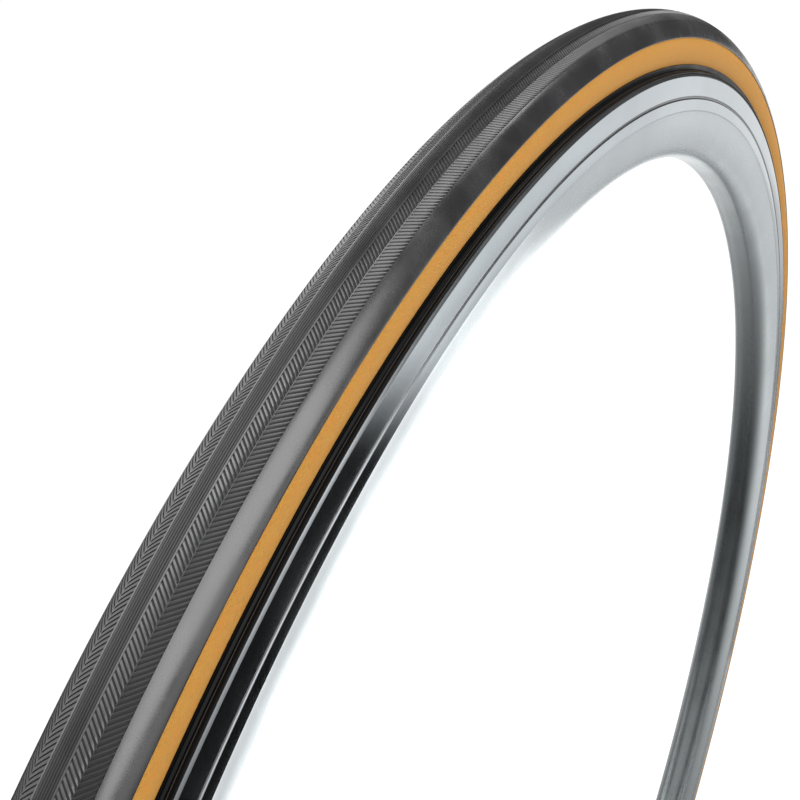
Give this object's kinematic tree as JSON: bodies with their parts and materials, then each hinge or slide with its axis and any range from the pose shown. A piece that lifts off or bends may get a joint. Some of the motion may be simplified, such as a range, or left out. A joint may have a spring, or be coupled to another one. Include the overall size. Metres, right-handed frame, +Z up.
{
  "type": "bicycle tyre on its rim",
  "caption": "Road racing clincher tyre with an amber cotton sidewall and chevron tread, mounted on a deep aluminium rim with its inner tube and valve.",
  "frame": {"origin": "centre of the wheel, on the axle line midway between the brake tracks, which is the centre of the bounding box", "axes": "+Y along the axle towards the right side, +Z up, away from the valve, which stands at the bottom of the wheel"},
  "size_m": [0.6692, 0.022, 0.6692],
  "materials": {
    "tread_rubber": "matte vulcanised rubber",
    "aramid_cloth": "woven belt",
    "casing_cotton": "amber cotton with a thin latex coat",
    "casing_lining": "bare cotton ply",
    "chafer_rubber": "rubberised strip",
    "bead_cord": "bundled cord",
    "tube_rubber": "talcum-dusted butyl",
    "rim_aluminium": "satin anodised with machined brake tracks",
    "tape_cloth": "woven cotton tape",
    "sleeve_aluminium": "extruded",
    "valve_brass": "turned",
    "seal_rubber": "moulded",
    "lock_ring_metal": "turned and knurled",
    "cap_plastic": "moulded"
  },
  "bodies": {
    "wheel": {"tread": "tread_rubber", "breaker_belt": "aramid_cloth", "casing_ply_outer": "casing_cotton", "casing_ply_inner": "casing_lining", "chafer_right": "chafer_rubber", "chafer_left": "chafer_rubber", "bead_core_right": "bead_cord", "bead_core_left": "bead_cord", "inner_tube": "tube_rubber", "valve_base_patch": "tube_rubber", "rim": "rim_aluminium", "rim_tape": "tape_cloth", "rim_joint_sleeve": "sleeve_aluminium", "valve_stem": "valve_brass", "valve_core_body": "valve_brass"},
    "cap": {"valve_cap": "cap_plastic"},
    "lock_ring": {"valve_lock_ring": "lock_ring_metal"},
    "core_pin": {"valve_core_pin": "valve_brass", "valve_core_seal": "seal_rubber"},
    "core_nut": {"valve_core_nut": "valve_brass"}
  },
  "joints": [
    {"name": "cap_unscrew", "type": "slide", "parent": "wheel", "child": "cap", "axis": [0, 0, 1], "range_m": [0, 0.022]},
    {"name": "lock_ring_unscrew", "type": "slide", "parent": "wheel", "child": "lock_ring", "axis": [0, 0, 1], "range_m": [0, 0.012]},
    {"name": "core_pin_press", "type": "slide", "parent": "wheel", "child": "core_pin", "axis": [0, 0, -1], "range_m": [0, 0.0015], "stiffness_N_per_m": 800, "springref_m": -0.003},
    {"name": "core_nut_turn", "type": "hinge", "parent": "core_pin", "child": "core_nut", "pos_m": [0, 0, -0.2543], "axis": [0, 0, 1], "range_deg": [-900, 0]}
  ]
}
